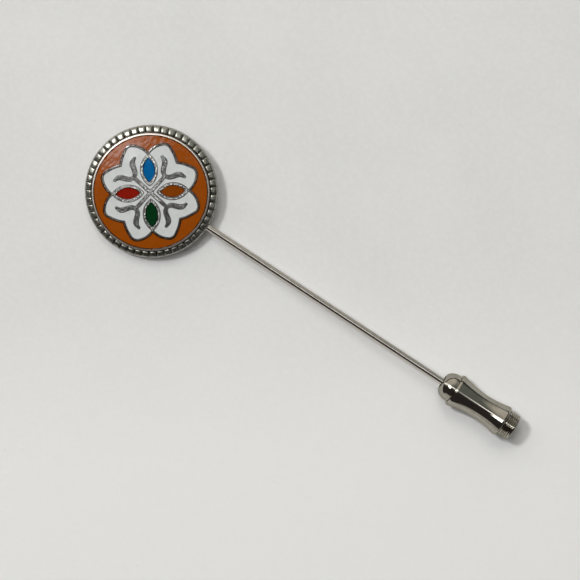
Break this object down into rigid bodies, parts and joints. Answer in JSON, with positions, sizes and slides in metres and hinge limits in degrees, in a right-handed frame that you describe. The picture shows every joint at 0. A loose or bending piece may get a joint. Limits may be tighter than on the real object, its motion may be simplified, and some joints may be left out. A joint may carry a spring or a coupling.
{
  "type": "hat pin",
  "caption": "Round enamelled hat pin: flower emblem in a beaded metal setting, straight needle soldered to the back, and a turned slide-on clutch with a pull knob over the point.",
  "frame": {"origin": "centre of the head's flat back face", "axes": "+Z out of the head's enamelled face, +X along the needle from the head to its point, +Y across the head"},
  "size_m": [0.0745, 0.0198, 0.0056],
  "materials": {
    "plated_setting": "polished plating",
    "oxidised_beads": "polished beads, darkened between",
    "struck_metal": "fine sandblasted grain on the cell walls, polished rim",
    "orange_enamel": "glossy",
    "white_enamel": "glossy",
    "blue_enamel": "glossy",
    "red_enamel": "glossy",
    "green_enamel": "glossy",
    "solder": "satin silver solder",
    "needle_steel": "polished",
    "clutch_plating": "polished nickel plating",
    "bushing_brass": "turned",
    "ball_steel": "polished",
    "spring_steel": "drawn wire"
  },
  "bodies": {
    "head": {"setting_base": "plated_setting", "beaded_ring": "oxidised_beads", "emblem_plate": "struck_metal", "ground_enamel": "orange_enamel", "petal_enamel": "white_enamel", "marquise_enamel_north": "blue_enamel", "marquise_enamel_west": "red_enamel", "marquise_enamel_south": "green_enamel", "marquise_enamel_east": "orange_enamel", "solder_joint": "solder", "needle": "needle_steel"},
    "clutch": {"clutch_nose": "clutch_plating", "clutch_barrel": "clutch_plating", "rear_bushing": "bushing_brass", "clutch_spring": "spring_steel"},
    "knob": {"ball_cage": "bushing_brass", "pull_knob": "clutch_plating"},
    "ball_1": {"clutch_ball_1": "ball_steel"},
    "ball_2": {"clutch_ball_2": "ball_steel"},
    "ball_3": {"clutch_ball_3": "ball_steel"}
  },
  "joints": [
    {"name": "clutch_slide", "type": "slide", "parent": "head", "child": "clutch", "axis": [1, 0, 0], "range_m": [-0.0004, 0.02]},
    {"name": "knob_pull", "type": "slide", "parent": "clutch", "child": "knob", "axis": [1, 0, 0], "range_m": [0, 0.001], "stiffness_N_per_m": 100, "springref_m": -0.005, "deforming": ["clutch_spring"]},
    {"name": "ball_1_release", "type": "slide", "parent": "knob", "child": "ball_1", "axis": [0, 0, 1], "range_m": [0, 0.00022]},
    {"name": "ball_2_release", "type": "slide", "parent": "knob", "child": "ball_2", "axis": [0, -0.866, -0.5], "range_m": [0, 0.00022]},
    {"name": "ball_3_release", "type": "slide", "parent": "knob", "child": "ball_3", "axis": [0, 0.866, -0.5], "range_m": [0, 0.00022]}
  ],
  "couplings": [
    {"joint": "ball_1_release", "follows": "knob_pull", "ratio": 0.21256},
    {"joint": "ball_2_release", "follows": "knob_pull", "ratio": 0.21256},
    {"joint": "ball_3_release", "follows": "knob_pull", "ratio": 0.21256}
  ]
}
